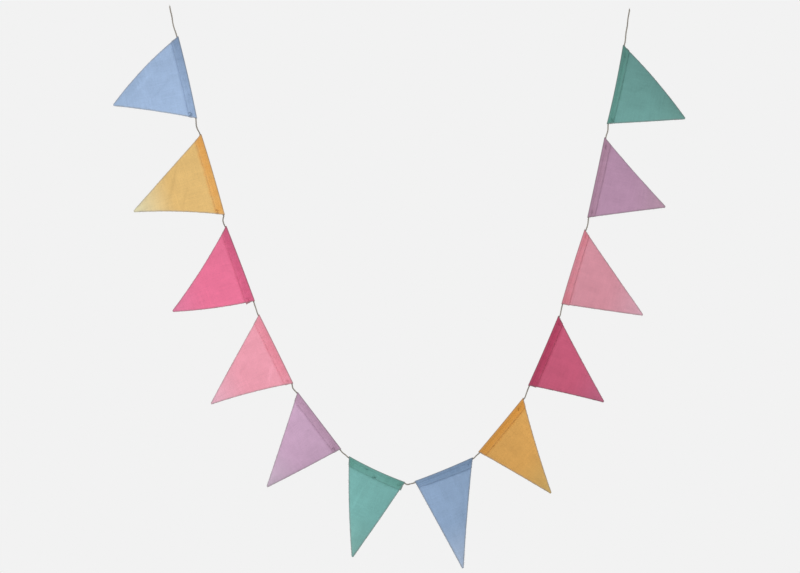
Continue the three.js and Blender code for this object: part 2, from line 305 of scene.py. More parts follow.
def jute_twine_material(name, light_colour, dark_colour):
    """Retted jute, spun and laid up undyed: matt bast fibre, pale on the plies, with painted shade darkening
    the grooves between them.
    """
    fibre_width = 0.0004
    fibre_run = 0.004
    patches_per_metre = 70.0
    fibre_darkness = 0.55
    patch_darkness = 0.3
    groove_painted_shade = 0.6
    fibre_relief = 0.0002
    material, tree = empty_material(name)
    lay = add_node(tree, "ShaderNodeAttribute", attribute_name="lay").outputs["Vector"]
    groove = add_node(tree, "ShaderNodeAttribute", attribute_name="groove").outputs["Fac"]
    stretched = add_node(
        tree, "ShaderNodeMapping", {"Vector": lay, "Scale": (1 / fibre_run, 1 / fibre_width, 1)}
    )
    fibres = add_node(
        tree, "ShaderNodeTexNoise", {"Vector": stretched, "Scale": 1.0, "Detail": 3.0, "Roughness": 0.6}
    )
    patches = add_node(tree, "ShaderNodeTexNoise", {"Vector": lay, "Scale": patches_per_metre, "Detail": 2.0})
    darkness = 0.0
    for noise, darkest in ((fibres, fibre_darkness), (patches, patch_darkness)):
        tone = add_node(
            tree, "ShaderNodeMapRange", {"Value": noise, "From Min": 0.3, "From Max": 0.7, "To Max": darkest}
        )
        darkness = add_node(tree, "ShaderNodeMath", {0: tone, 1: darkness}, operation="ADD")
    # Painted shade: the grooves between the plies are darkened by their depth, on top of the fibres' own
    # darker patches.
    darkness = add_node(
        tree, "ShaderNodeMath",
        {0: groove, 1: groove_painted_shade, 2: darkness}, operation="MULTIPLY_ADD", use_clamp=True,
    )
    colour = add_node(
        tree, "ShaderNodeMix",
        {"Factor": darkness, "A": linear(light_colour), "B": linear(dark_colour)}, data_type="RGBA",
    )
    bump = add_node(tree, "ShaderNodeBump", {"Height": fibres, "Strength": 0.6, "Distance": fibre_relief})
    surface = add_node(
        tree, "ShaderNodeBsdfPrincipled",
        {"Base Color": colour, "Normal": bump, "Roughness": 0.9, "Specular IOR Level": 0.25,
         "Sheen Weight": 0.1},
    )
    add_node(tree, "ShaderNodeOutputMaterial", {"Surface": surface})
    return material


twine.data.materials.append(jute_twine_material("spun_jute", "bbb4a8", "736d65"))

# Loose fibres of the twine: single hairs of jute that stand out where it hangs in the open, and a
# small tuft at each bare end where the plies come apart.
hair_length = 0.0032
hair_thickness = 0.00012
hair_bend = 0.0007
hair_standing = 0.55
hair_root_depth = 0.3
hair_bend_turn = 0.3
tuft_lean = 3
hairs_per_metre = 900
hairs_per_end = 14
hair_seed = 11
casing_width = 0.008


def strand_tree(name):
    """Geometry nodes: a short bent strand on each point, laid along its way, of slightly uneven length."""
    tree = bpy.data.node_groups.new(name, "GeometryNodeTree")
    kinds = {
        "Geometry": "Geometry", "Length": "Float", "Thickness": "Float", "Bend": "Float",
        "Unevenness": "Float", "Seed": "Int", "Sides": "Int", "Steps": "Int", "Material": "Material",
    }
    for label, kind in kinds.items():
        tree.interface.new_socket(label, in_out="INPUT", socket_type="NodeSocket" + kind)
    tree.interface.new_socket("Geometry", in_out="OUTPUT", socket_type="NodeSocketGeometry")
    given = add_node(tree, "NodeGroupInput").outputs
    half_length, radius = (
        add_node(tree, "ShaderNodeMath", {0: given[label], 1: 0.5}, operation="MULTIPLY")
        for label in ("Length", "Thickness")
    )
    middle = add_node(tree, "ShaderNodeCombineXYZ", {"X": half_length, "Z": given["Bend"]})
    far_end = add_node(tree, "ShaderNodeCombineXYZ", {"X": given["Length"]})
    path = add_node(
        tree, "GeometryNodeCurveQuadraticBezier",
        {"Resolution": given["Steps"], "Start": (0, 0, 0), "Middle": middle, "End": far_end},
    )
    section = add_node(
        tree, "GeometryNodeCurvePrimitiveCircle", {"Resolution": given["Sides"], "Radius": radius}
    )
    strand = add_node(
        tree, "GeometryNodeCurveToMesh", {"Curve": path, "Profile Curve": section, "Fill Caps": True}
    )
    way, outward = (
        add_node(tree, "GeometryNodeInputNamedAttribute", {"Name": label}, data_type="FLOAT_VECTOR")
        for label in ("way", "outward")
    )
    turned_up = add_node(tree, "FunctionNodeAlignRotationToVector", {"Vector": outward}, axis="Z")
    laid = add_node(
        tree, "FunctionNodeAlignRotationToVector",
        {"Rotation": turned_up, "Vector": way}, axis="X", pivot_axis="Z",
    )
    shortest = add_node(tree, "ShaderNodeMath", {0: 1.0, 1: given["Unevenness"]}, operation="SUBTRACT")
    size = add_node(
        tree, "FunctionNodeRandomValue",
        {"Min": shortest, "Max": 1.0, "Seed": given["Seed"]}, data_type="FLOAT",
    )
    placed = add_node(
        tree, "GeometryNodeInstanceOnPoints",
        {"Points": given["Geometry"], "Instance": strand, "Rotation": laid, "Scale": size},
    )
    real = add_node(tree, "GeometryNodeRealizeInstances", {"Geometry": placed})
    dressed = add_node(tree, "GeometryNodeSetMaterial", {"Geometry": real, "Material": given["Material"]})
    add_node(tree, "NodeGroupOutput", {"Geometry": dressed})
    return tree


strand_nodes = strand_tree("short strands")


def strands(name, points, ways, outwards, dye_and_shade_depths, sizes):
    """Lay strands on a cloud of points and keep the result as a plain mesh."""
    piece = plain_mesh(name, points, np.empty((0, 3), int))
    for label, values in (("way", ways), ("outward", outwards), ("dye_depth_and_shade", dye_and_shade_depths)):
        give_numbers(piece, label, values)
    modifier = piece.modifiers.new("strands", "NODES")
    modifier.node_group = strand_nodes
    for item in strand_nodes.interface.items_tree:
        if item.in_out == "INPUT" and item.name in sizes:
            modifier[item.identifier] = sizes[item.name]
    evaluated = piece.evaluated_get(bpy.context.evaluated_depsgraph_get())
    result = bpy.data.meshes.new_from_object(evaluated)
    piece.modifiers.clear()
    cloud, piece.data = piece.data, result
    bpy.data.meshes.remove(cloud)
    result.name = name
    return piece


chance = np.random.default_rng(hair_seed)
open_run = np.ones(ring_count, dtype=bool)
for name in casings:
    start, along, _, length = casing_of(name)
    travelled = (ring_centres - start) @ along
    beside = np.linalg.norm(ring_centres - start - travelled[:, None] * along, axis=1)
    open_run &= ~((travelled > 0) & (travelled < length) & (beside < casing_width))
open_rings = np.flatnonzero(open_run)
hair_count = int(hairs_per_metre * len(open_rings) * ring_spacing)
end_rings = np.repeat([0, ring_count - 1], hairs_per_end)
hair_rings = np.concatenate([chance.choice(open_rings, hair_count), end_rings])
hair_turns = chance.uniform(0, 2 * math.pi, len(hair_rings))
hair_sides = ring_sides[hair_rings]
hair_ups = ring_ups[hair_rings]
hair_outward = np.cos(hair_turns)[:, None] * hair_sides + np.sin(hair_turns)[:, None] * hair_ups
hair_lean = chance.uniform(-1, 1, len(hair_rings))
hair_lean[-2 * hairs_per_end : -hairs_per_end] = -tuft_lean
hair_lean[-hairs_per_end:] = tuft_lean
hair_ways = hair_outward * hair_standing + hair_lean[:, None] * ring_ways[hair_rings]
hairs = strands(
    "twine_hairs",
    (ring_centres + kinks)[hair_rings] + hair_outward * twine_diameter * hair_root_depth,
    hair_ways,
    np.cross(hair_ways, hair_sides + hair_bend_turn * hair_ups),
    np.ones(len(hair_rings)),
    {"Length": hair_length, "Thickness": hair_thickness, "Bend": hair_bend, "Unevenness": 0.7, "Seed": 5,
     "Sides": 3, "Steps": 3, "Material": jute_twine_material("loose_jute_fibre", "a9a39b", "78726a")},
)

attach(twine, "root")
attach(hairs, "root")
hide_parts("twine")

# The pennants: coarse plain-woven jute cloth, piece-dyed and cut as triangles with raw edges. Each
# heading is turned over to the front, round the twine, as a hem, and hangs on the twine by that fold.
# The threads are drawn at their real pitch, about 100 to a heading.
cloth_thickness = 1.0 * mm
casing_clearance = 0.5 * mm
hem_layer_gap = 0.5 * mm
tacked_press = 0.2 * mm
tip_width = 3.0 * mm
ripple_pitch = 46.0 * mm
thread_pitch = 1.5 * mm
crown_height = 0.1 * mm
pit_depth = 0.2 * mm
thread_alternation = 0.04 * mm
nearest_to_side = 0.4
edge_wander_out = 0.22 * mm
edge_wander_in = 0.132 * mm

# Outline of each pennant in mm. Drop: heading edge to tip. Lean: how far the tip lies past the middle
# of the heading, towards the twine's right end. Bow: how far a side curves in at its middle.
outlines = table(("drop", "lean", "start_bow", "end_bow"), {
    "flag_01_blue": (157, 22, -7, 2),
    "flag_02_ochre": (172, 27.5, -1, 3.8),
    "flag_03_pink": (161.5, 41.5, 4.7, -3.5),
    "flag_04_rose": (165, 41, -0.5, 3),
    "flag_05_lilac": (164.5, 42.5, 0.6, -0.6),
    "flag_06_green": (179.5, 29, -2.5, -0.3),
    "flag_07_blue": (199, -39.5, 0.3, 1.9),
    "flag_08_ochre": (164.5, -41, 0.5, 3),
    "flag_09_pink": (153, -46, 1.3, 1.7),
    "flag_10_rose": (161.5, -51, -0.2, 0.4),
    "flag_11_lilac": (148.5, -28.5, 0.3, 1.4),
    "flag_12_green": (151, -39, 0, -3.9),
})

# Hem of each pennant in mm. Depth: heading edge to raw edge, at both ends. Flare: how far the hem's
# raw corner stands out past the side.
hems = table(("start_depth", "end_depth", "start_flare", "end_flare"), {
    "flag_01_blue": (16.5, 15, 0.3, 1.2),
    "flag_02_ochre": (16, 15.5, 0.3, 0.6),
    "flag_03_pink": (14.5, 18.5, 0, 3.5),
    "flag_04_rose": (16.5, 16.5, 0.4, 0.9),
    "flag_05_lilac": (15.5, 16.5, 0.9, 0.2),
    "flag_06_green": (16.5, 18.5, 0.4, 2.5),
    "flag_07_blue": (14.5, 18.5, 0.1, 0),
    "flag_08_ochre": (15.5, 15.5, 0.3, 0.8),
    "flag_09_pink": (16, 15, 1.5, 1),
    "flag_10_rose": (15.5, 13, 1, 0.7),
    "flag_11_lilac": (14, 15.5, 0.2, 0.1),
    "flag_12_green": (11.5, 14.5, 0.3, 1.3),
})

# Fall of each pennant in mm, towards the front. Swing: how far its tip hangs out of the bunting's
# plane. Curl: how far each side turns out at its middle, and belly the same for the middle of the
# cloth. Ripple: height of the soft upright folds, whose start across the bunting is phase, in turns.
falls = table(("swing", "start_curl", "end_curl", "belly", "ripple", "phase"), {
    "flag_01_blue": (6, 3.5, -2, 1.5, 0.9, 0.1),
    "flag_02_ochre": (9, -2.5, 3, -1.5, 1, 0.55),
    "flag_03_pink": (-4, -3, 2.5, 2, 0.8, 0.3),
    "flag_04_rose": (7, 2.5, -3, -1, 1.1, 0.8),
    "flag_05_lilac": (-5, 4, 1.5, 1, 0.8, 0.45),
    "flag_06_green": (5, -3, 3.5, 2, 1, 0.2),
    "flag_07_blue": (-7, 3, -2.5, 1.5, 1.1, 0.7),
    "flag_08_ochre": (4, -2, 3, -2, 0.8, 0.35),
    "flag_09_pink": (-6, 3, 2, -1.5, 0.9, 0.9),
    "flag_10_rose": (8, -3.5, 2, 1.5, 1, 0.15),
    "flag_11_lilac": (-3, 2, -3, 2, 0.8, 0.6),
    "flag_12_green": (5, -2, 3.5, -1, 0.9, 0.4),
})

# Soft creases left from packing: where each begins and ends, as shares of the heading's
# length and of the drop, its width in mm and its height in mm, which is negative for a trough.
creases = {
    "flag_01_blue": [((0.3, 0.35), (0.62, 0.8), 3.5, 0.5), ((0.45, 0.2), (0.7, 0.55), 3, -0.4)],
    "flag_02_ochre": [((0.25, 0.36), (0.75, 0.62), 4, -0.8), ((0.5, 0.3), (0.9, 0.5), 3, -0.6)],
    "flag_04_rose": [((0.66, 0.12), (0.9, 0.3), 4, 0.8), ((0.42, 0.3), (0.6, 0.55), 4, -0.4)],
    "flag_06_green": [((0.42, 0.18), (0.4, 0.6), 3, 0.6)],
    "flag_07_blue": [((0.75, 0.2), (0.45, 0.7), 3, 0.6), ((0.86, 0.16), (0.62, 0.5), 2.5, -0.6)],
    "flag_08_ochre": [((0.7, 0.2), (0.45, 0.75), 4, 0.4)],
    "flag_12_green": [((0.42, 0.25), (0.6, 0.45), 3, -0.5)],
}

fold_radius = twine_diameter / 2 + casing_clearance + cloth_thickness / 2
fold_reach = fold_radius + cloth_thickness / 2
layer_half_spacing = (cloth_thickness + hem_layer_gap) / 2
fold_opening = math.radians(60)
closed_depth = fold_radius * math.cos(fold_opening) + (
    fold_radius * math.sin(fold_opening) - layer_half_spacing
) * math.tan(fold_opening)

# The fold seen from its end: how far down and how far forward the cloth lies, from the hem's layer
# over the twine to the body's layer, and the run of cloth up to there.
fold_turns = np.linspace(fold_opening, 2 * math.pi - fold_opening, 25)
fold_depths = np.concatenate([[closed_depth], fold_radius * np.cos(fold_turns), [closed_depth]])
fold_heights = np.concatenate([[layer_half_spacing], fold_radius * np.sin(fold_turns), [-layer_half_spacing]])
fold_runs = np.concatenate([[0], np.cumsum(np.hypot(np.diff(fold_depths), np.diff(fold_heights)))])


def hump(share):
    """A curve that is 0 at both ends and 1 in the middle."""
    return 4 * share * (1 - share)


def eased(share):
    """A share that leaves 0 and reaches 1 gently."""
    return share**2 * (3 - 2 * share)


class Pennant:
    """The smooth middle surface of one pennant: where the cloth lies at a share across and a run down it."""

    def __init__(self, name):
        self.name = name
        self.start, self.along, self.down, self.length = casing_of(name)
        for label, value in {**outlines[name], **hems[name], **falls[name]}.items():
            setattr(self, label, value * mm)
        self.phase = falls[name]["phase"]
        self.sag = casings[name]["sag"] * mm
        self.hem_run = (self.start_depth + self.end_depth) / 2 - fold_reach - closed_depth
        self.body_start = self.hem_run + fold_runs[-1]
        self.full_run = self.body_start + self.drop - fold_reach - closed_depth

    def raw_depth(self, share):
        """Depth below the twine of the hem's raw edge."""
        return self.start_depth * (1 - share) + self.end_depth * share - fold_reach

    def layers(self, share, run):
        """Depth below the twine, height in front of it and share of the hem's flare, at a run of cloth."""
        hem_share = np.clip(1 - run / self.hem_run, 0, 1)
        over_fold = run - self.hem_run
        hem_depth = closed_depth + (self.raw_depth(share) - closed_depth) * hem_share
        body_depth = np.interp(over_fold, fold_runs, fold_depths) + np.maximum(run - self.body_start, 0)
        depth = np.where(run < self.hem_run, hem_depth, body_depth)
        height = np.interp(over_fold, fold_runs, fold_heights) - tacked_press * hem_share**2
        return depth, height, hem_share

    def sides(self, depth, flare_share):
        """Where the two raw sides lie along the casing's direction, at a depth."""
        reach = np.clip((depth + fold_reach) / self.drop, 0, 1)
        tip = self.length / 2 + self.lean
        start_side = (tip - tip_width / 2) * reach + self.start_bow * hump(reach)
        end_side = self.length + (tip + tip_width / 2 - self.length) * reach - self.end_bow * hump(reach)
        return start_side - self.start_flare * flare_share, end_side + self.end_flare * flare_share

    def crease_height(self, along, depth):
        """Height of the listed creases at a place in the cloth."""
        total = np.zeros_like(along)
        scale = np.array([self.length, self.drop])
        for begin, end, width, height in creases.get(self.name, []):
            near_end = np.array(begin) * scale
            way = np.array(end) * scale - near_end
            place = np.stack([along, depth + fold_reach], axis=-1) - near_end
            run = np.clip(place @ way / (way @ way), 0, 1)
            off = np.linalg.norm(place - run[:, None] * way, axis=1)
            fade_in = np.sin(math.pi * run) ** 0.7
            total += height * mm * fade_in * np.exp(-((off / (width * mm)) ** 2))
        return total

    def place(self, share, run):
        """Points of the cloth's middle surface."""
        depth, height, flare_share = self.layers(share, run)
        start_side, end_side = self.sides(depth, flare_share)
        along = start_side + (end_side - start_side) * share
        below_fold = np.clip(depth / (self.drop - fold_reach), 0, 1)
        sag = self.sag * hump(along / self.length) * (1 - below_fold)
        points = self.start + along[:, None] * self.along + (depth + sag)[:, None] * self.down
        curl = self.start_curl * (1 - share) ** 2 + self.end_curl * share**2 + self.belly * hump(share)
        ripple = self.ripple * np.sin(2 * math.pi * (points[:, 0] / ripple_pitch + self.phase))
        relief = (
            self.swing * below_fold
            + curl * np.sin(math.pi * below_fold) ** 1.5
            + ripple * eased(below_fold)
            + self.crease_height(along, depth)
        )
        return points + (height + relief)[:, None] * front

    def directions(self, share, run):
        """Across the cloth, down it, and square to it on the side that the hem shows."""
        share_step = 0.01
        run_step = 0.3 * mm
        high, low = np.clip(share + share_step, share_step, 1), np.clip(share - share_step, 0, 1 - share_step)
        across = self.place(high, run) - self.place(low, run)
        ahead, back = np.clip([run + run_step, run - run_step], 0, self.full_run)
        downward = self.place(share, ahead) - self.place(share, back)
        return across, downward, unit(np.cross(across, downward))

    def sides_at(self, run):
        """Where the two raw sides lie along the casing's direction, at a run of cloth."""
        depth, _, flare_share = self.layers(np.array([0.0, 1.0]), np.array([run, run]))
        start_side, end_side = self.sides(depth, flare_share)
        return float(start_side[0]), float(end_side[1])


def woven_grid(pennant, chance):
    """Points at the crossings of the threads, and in the gaps between them, joined as triangles.

    Returns each point's place along the heading, share across, run and relief, with the triangles.
    """
    row_count = int(pennant.full_run / thread_pitch)
    rows, columns, cells, triangles = [], ([], [], [], []), [], []

    def add_points(places, start_side, end_side, at_run, relief):
        """Add points that lie at one run of cloth, and return their numbers."""
        numbers = sum(map(len, columns[0])) + np.arange(len(places))
        share = (places - start_side) / (end_side - start_side)
        for column, values in zip(columns, (places, share, np.full(len(places), at_run), relief)):
            column.append(values)
        return numbers

    def zip_rows(upper, lower):
        """Join two rows of point numbers and places by triangles, always taking the nearer next point."""
        (a_numbers, a_places), (b_numbers, b_places) = upper, lower
        a = b = 0
        while a + 1 < len(a_numbers) or b + 1 < len(b_numbers):
            take_upper = b + 1 >= len(b_numbers) or (
                a + 1 < len(a_numbers) and a_places[a + 1] < b_places[b + 1]
            )
            if take_upper:
                triangles.append((a_numbers[a], a_numbers[a + 1], b_numbers[b]))
                a += 1
            else:
                triangles.append((a_numbers[a], b_numbers[b + 1], b_numbers[b]))
                b += 1

    for row in range(row_count + 1):
        at_run = pennant.full_run if row == row_count else row * thread_pitch
        start_side, end_side = pennant.sides_at(at_run)
        first = math.ceil(start_side / thread_pitch + nearest_to_side)
        last = math.floor(end_side / thread_pitch - nearest_to_side)
        threads = np.arange(first, last + 1)
        wander = chance.uniform(-edge_wander_out, edge_wander_in, 2)
        places = np.concatenate([[start_side + wander[0]], threads * thread_pitch, [end_side - wander[1]]])
        crown = crown_height + thread_alternation * np.where((threads + row) % 2, -1, 1)
        relief = np.concatenate([[0], crown, [0]])
        numbers = add_points(places, start_side, end_side, at_run, relief)
        rows.append({"numbers": numbers, "places": places, "first": first, "last": last, "run": at_run})

    for upper, lower in zip(rows, rows[1:]):
        first, last = max(upper["first"], lower["first"]), min(upper["last"], lower["last"])
        if last - first < 1:
            zip_rows(*((line["numbers"], line["places"]) for line in (upper, lower)))
            continue
        middle_run = (upper["run"] + lower["run"]) / 2
        gaps = (np.arange(first, last) + 0.5) * thread_pitch
        pits = add_points(gaps, *pennant.sides_at(middle_run), middle_run, np.full(len(gaps), -pit_depth))
        lines = [
            (line["numbers"], line["places"], first - line["first"] + 1, last - line["first"] + 1)
            for line in (upper, lower)
        ]
        zip_rows(*((numbers[: begin + 1], places[: begin + 1]) for numbers, places, begin, _ in lines))
        zip_rows(*((numbers[end:], places[end:]) for numbers, places, _, end in lines))
        (a, b), (d, c) = [
            (numbers[begin:end], numbers[begin + 1 : end + 1]) for numbers, _, begin, end in lines
        ]
        for corner, following in ((a, b), (b, c), (c, d), (d, a)):
            cells.append(np.stack([corner, following, pits], axis=-1))
    return tuple(map(np.concatenate, columns)) + (np.vstack(cells + [np.array(triangles)]),)


def closed_cloth(name, points, normals, relief, fullness, faces):
    """A closed sheet of the cloth's thickness, its relief raised on both faces, walled at its rim."""
    count = len(points)
    rise = ((cloth_thickness / 2 + relief) * fullness)[:, None] * normals
    pairs = np.vstack([faces[:, [0, 1]], faces[:, [1, 2]], faces[:, [2, 0]]])
    forward = pairs[:, 0].astype(np.int64) * count + pairs[:, 1]
    backward = pairs[:, 1].astype(np.int64) * count + pairs[:, 0]
    rim = pairs[~np.isin(forward, backward)]
    walls = [
        np.stack([rim[:, 1], rim[:, 0], rim[:, 0] + count], axis=-1),
        np.stack([rim[:, 1], rim[:, 0] + count, rim[:, 1] + count], axis=-1),
    ]
    everything = np.vstack([faces, faces[:, ::-1] + count] + walls)
    return plain_mesh(name, np.vstack([points + rise, points - rise]), everything)


# Colour of each pennant: where the cloth lies double at the hem, where it is single, and at the tip, which is
# paler. The double colour is deeper than the single, painted shade for the light that comes less through two
# layers, and the pennants on the right, 07 to 12, have darker copies of the six dyes, painted shade for the
# light that falls less on that half. Hem: how strongly the double cloth shows at the heading's start, middle
# and end. Across: how much brighter the cloth gets from its start side to its end side.
cloths = table(("double", "single", "tip", "hem", "across"), {
    "flag_01_blue": ("8299b9", "a0b8d9", "9bb3d2", (0.96, 0.56, 0.44), 0.11),
    "flag_02_ochre": ("e5a453", "e2bb77", "dfdab5", (0.89, 0.74, 0.69), 0.06),
    "flag_03_pink": ("d45e83", "ec769a", "e380a3", (0.95, 0.81, 0.84), 0.1),
    "flag_04_rose": ("eb8ea0", "f3a2b4", "ecb7c9", (0.51, 0.87, 0.41), -0.02),
    "flag_05_lilac": ("b893ad", "caa6c3", "c4b1c3", (0.9, 0.75, 0.72), -0.15),
    "flag_06_green": ("639d92", "79b2ae", "7eaea7", (1.05, 0.6, 0.92), -0.1),
    "flag_07_blue": ("7a94b4", "90a9c9", "aebfd7", (0.64, 0.89, 0.77), -0.11),
    "flag_08_ochre": ("d9943d", "d9a459", "c5a664", (0.7, 0.71, 0.83), 0.06),
    "flag_09_pink": ("b33d5f", "c85c7a", "be6785", (0.69, 0.84, 0.79), 0.06),
    "flag_10_rose": ("df7583", "d692a1", "d7a6b6", (0.55, 0.32, 0.55), 0.02),
    "flag_11_lilac": ("ac8399", "b790ac", "b391a4", (0.65, 0.51, 0.65), -0.05),
    "flag_12_green": ("598f84", "6b9c97", "699790", (0.79, 0.62, 0.81), -0.24),
})

# Tacks that hold each hem. In mm, how far each lies before the heading's end and below the fold, and
# how plainly its thread, and the painted shade round it, show against the cloth, from 0 to 1.
tack_places = {
    "flag_01_blue": [(8, 10, 1)],
    "flag_02_ochre": [(7, 12, 0.9)],
    "flag_03_pink": [(7, 11, 0.3)],
    "flag_04_rose": [(7, 8, 0.7)],
    "flag_05_lilac": [(7, 11, 0.8)],
    "flag_06_green": [(7, 9, 0.2), (62, 14, 0.6), (82, 4, 0.7)],
    "flag_07_blue": [(7, 9, 0.2)],
    "flag_08_ochre": [(18, 8, 1)],
    "flag_09_pink": [(8, 8, 0.3)],
    "flag_10_rose": [(8, 7, 0.2)],
    "flag_11_lilac": [(16, 6, 0.8), (154, 6, 0.5)],
    "flag_12_green": [(18, 8, 0.8), (152, 8, 0.6)],
}

# How the colour lies over each pennant: its double cloth and paler tip, its darkened edges, partly worn and
# partly painted shade, and its tone, which carries painted light and shade on the ripples and the creases and
# painted shade on the roll over the twine and round the tacks. Waves are the lengths in which the uneven
# lines wander.
hem_blur = 4 * mm
hem_blur_span = 2.6
hem_line_wander = 1.5 * mm
hem_line_wave = 60 * mm
hem_strength_wander = 0.1
hem_strength_wave = 45 * mm
tip_paleness_start = 0.5
ripple_painted_light_and_shade = 0.025
crease_painted_light_and_shade = 0.06
crease_of_full_light_and_shade = 0.5 * mm
roll_shade = 0.16
roll_width = 3.5 * mm
pucker_shade = 0.07
pucker_width = 4 * mm
pucker_flatness = 0.8
strongest_edge_darkening = 0.85
darkened_edge_brightness = 0.52
darkened_edge_tint = (1.04, 1, 0.96)
darkened_edge_width = 4 * mm
side_wear_and_shade = (0.8, 0.3)
side_wear_and_shade_wave = 30 * mm
hem_edge_wear_and_shade = (0.1, 0.1)
hem_edge_wear_and_shade_wave = 20 * mm
fold_painted_shade = 0.9
fold_painted_shade_width = 2.4 * mm
raw_edge_thinning = 0.6
raw_edge_run = 4 * mm


def worn_and_shaded(hex_colour):
    """The dull grey of the darkened edges, on cloth of that dye: partly the wear of handling on the cut
    edges, partly painted shade along the edges and the fold.
    """
    red, green, blue, _ = linear(hex_colour)
    grey = darkened_edge_brightness * (0.2126 * red + 0.7152 * green + 0.0722 * blue)
    return tuple(grey * tint for tint in darkened_edge_tint) + (1.0,)


def burlap_material(name, cloth):
    """Burlap, plain-woven from coarse jute yarn and piece-dyed.

    The yarns give it a matt, grainy face, each a little darker or paler than the next; the crowns of the
    yarns carry a painted highlight and the gaps between them painted shade. Light goes through it where it is
    single, so that the double hem is deeper in colour; that difference is painted into its colours as shade.
    """
    yarn_tone_run = 0.045
    yarn_spread = 7.31
    blotch = 0.02
    twist_pitch = 0.0006
    crossing_share = 0.35
    crown_painted_highlight = 1.2
    yarn_contrast = 0.42
    blotch_contrast = 0.2
    gap_painted_shade = 0.62
    twist_relief = 0.35
    weave_relief = 0.0003
    material, tree = empty_material(name)
    threads = add_node(tree, "ShaderNodeAttribute", attribute_name="threads").outputs["Vector"]
    double, tip_paleness, edge, tone = (
        add_node(tree, "ShaderNodeAttribute", attribute_name=label).outputs["Fac"]
        for label in ("double", "tip_paleness", "edge", "tone")
    )

    # Each thread has a whole number, and the share across it is 0.5 at its crown.
    counted = add_node(
        tree, "ShaderNodeVectorMath",
        {0: threads, 1: (1 / thread_pitch,) * 3, 2: (0.5, 0.5, 0.5)}, operation="MULTIPLY_ADD",
    )
    number, across = (
        add_node(tree, "ShaderNodeVectorMath", {0: counted}, operation=operation)
        for operation in ("FLOOR", "FRACTION")
    )
    rest = add_node(
        tree, "ShaderNodeVectorMath", {0: across, 1: (-4, -4, -4), 2: (4, 4, 4)}, operation="MULTIPLY_ADD"
    )
    roundness = add_node(tree, "ShaderNodeVectorMath", {0: across, 1: rest}, operation="MULTIPLY")
    round_parts, number_parts, thread_parts = (
        add_node(tree, "ShaderNodeSeparateXYZ", {"Vector": vector}).outputs
        for vector in (roundness, number, threads)
    )
    number_sum = add_node(
        tree, "ShaderNodeMath", {0: number_parts["X"], 1: number_parts["Y"]}, operation="ADD"
    )
    weft_on_top = add_node(tree, "ShaderNodeMath", {0: number_sum, 1: 2.0}, operation="FLOORED_MODULO")
    top_thread = add_node(
        tree, "ShaderNodeMix",
        {"Factor": weft_on_top, "A": round_parts["X"], "B": round_parts["Y"]}, data_type="FLOAT",
    )
    both_threads = add_node(
        tree, "ShaderNodeMath", {0: round_parts["X"], 1: round_parts["Y"]}, operation="MULTIPLY"
    )
    weave = add_node(
        tree, "ShaderNodeMix",
        {"Factor": crossing_share, "A": top_thread, "B": both_threads}, data_type="FLOAT",
    )

    # Each yarn has its own tone, which drifts along it.
    tones = []
    for own, following in (("X", "Y"), ("Y", "X")):
        seat = add_node(tree, "ShaderNodeCombineXYZ", {"X": number_parts[own], "Y": thread_parts[following]})
        spread = add_node(
            tree, "ShaderNodeVectorMath",
            {0: seat, 1: (yarn_spread, 1 / yarn_tone_run, 0)}, operation="MULTIPLY",
        )
        tones.append(add_node(
            tree, "ShaderNodeTexNoise", {"Vector": spread, "Scale": 1.0, "Detail": 2.0, "Roughness": 0.6}
        ))
    yarn_tone = add_node(
        tree, "ShaderNodeMix", {"Factor": weft_on_top, "A": tones[0], "B": tones[1]}, data_type="FLOAT"
    )
    blotches = add_node(
        tree, "ShaderNodeTexNoise", {"Vector": threads, "Scale": 1 / blotch, "Detail": 3.0, "Roughness": 0.55}
    )
    twist = add_node(tree, "ShaderNodeTexNoise", {"Vector": threads, "Scale": 1 / twist_pitch, "Detail": 2.0})

    # The colour: single or double cloth, the double with its painted shade, paler towards the tip, and
    # darkened at the edges, partly by wear and partly by painted shade.
    colour = linear(cloth["single"])
    for amount, other in (
        (double, linear(cloth["double"])),
        (tip_paleness, linear(cloth["tip"])),
        (edge, worn_and_shaded(cloth["single"])),
    ):
        colour = add_node(
            tree, "ShaderNodeMix", {"Factor": amount, "A": colour, "B": other}, data_type="RGBA"
        )
    # Painted light and shade of the weave: crowns brighter and the gaps between the yarns darker, with each
    # yarn's own tone and the blotches; then times the tone attribute, which holds painted light and shade
    # too.
    unevenness = add_node(tree, "ShaderNodeCombineXYZ", {"X": yarn_tone, "Y": blotches, "Z": weave})
    shade = add_node(
        tree, "ShaderNodeVectorMath",
        {0: unevenness, 1: (yarn_contrast, blotch_contrast, gap_painted_shade)}, operation="DOT_PRODUCT",
    )
    darkest = crown_painted_highlight - gap_painted_shade - (yarn_contrast + blotch_contrast) / 2
    for operation, value in (("ADD", darkest), ("MULTIPLY", tone)):
        shade = add_node(tree, "ShaderNodeMath", {0: shade, 1: value}, operation=operation)
    colour = add_node(
        tree, "ShaderNodeMix",
        {"Factor": 1.0, "A": colour, "B": shade}, data_type="RGBA", blend_type="MULTIPLY", clamp_result=True,
    )
    height = add_node(tree, "ShaderNodeMath", {0: twist, 1: twist_relief, 2: weave}, operation="MULTIPLY_ADD")
    bump = add_node(tree, "ShaderNodeBump", {"Height": height, "Strength": 0.5, "Distance": weave_relief})
    surface = add_node(
        tree, "ShaderNodeBsdfPrincipled",
        {"Base Color": colour, "Normal": bump, "Roughness": 0.88, "Specular IOR Level": 0.2,
         "Sheen Weight": 0.12},
    )
    add_node(tree, "ShaderNodeOutputMaterial", {"Surface": surface})
    return material


def wandering(values, wave, seed):
    """A smooth uneven line from -1 to 1 along the values, from three waves of unlike length."""
    phases = np.random.default_rng(seed).uniform(0, 2 * math.pi, 3)
    waves = [np.sin(2 * math.pi * values / wave * rate + phase) for rate, phase in zip((1, 1.7, 3.1), phases)]
    return sum(waves) / 3


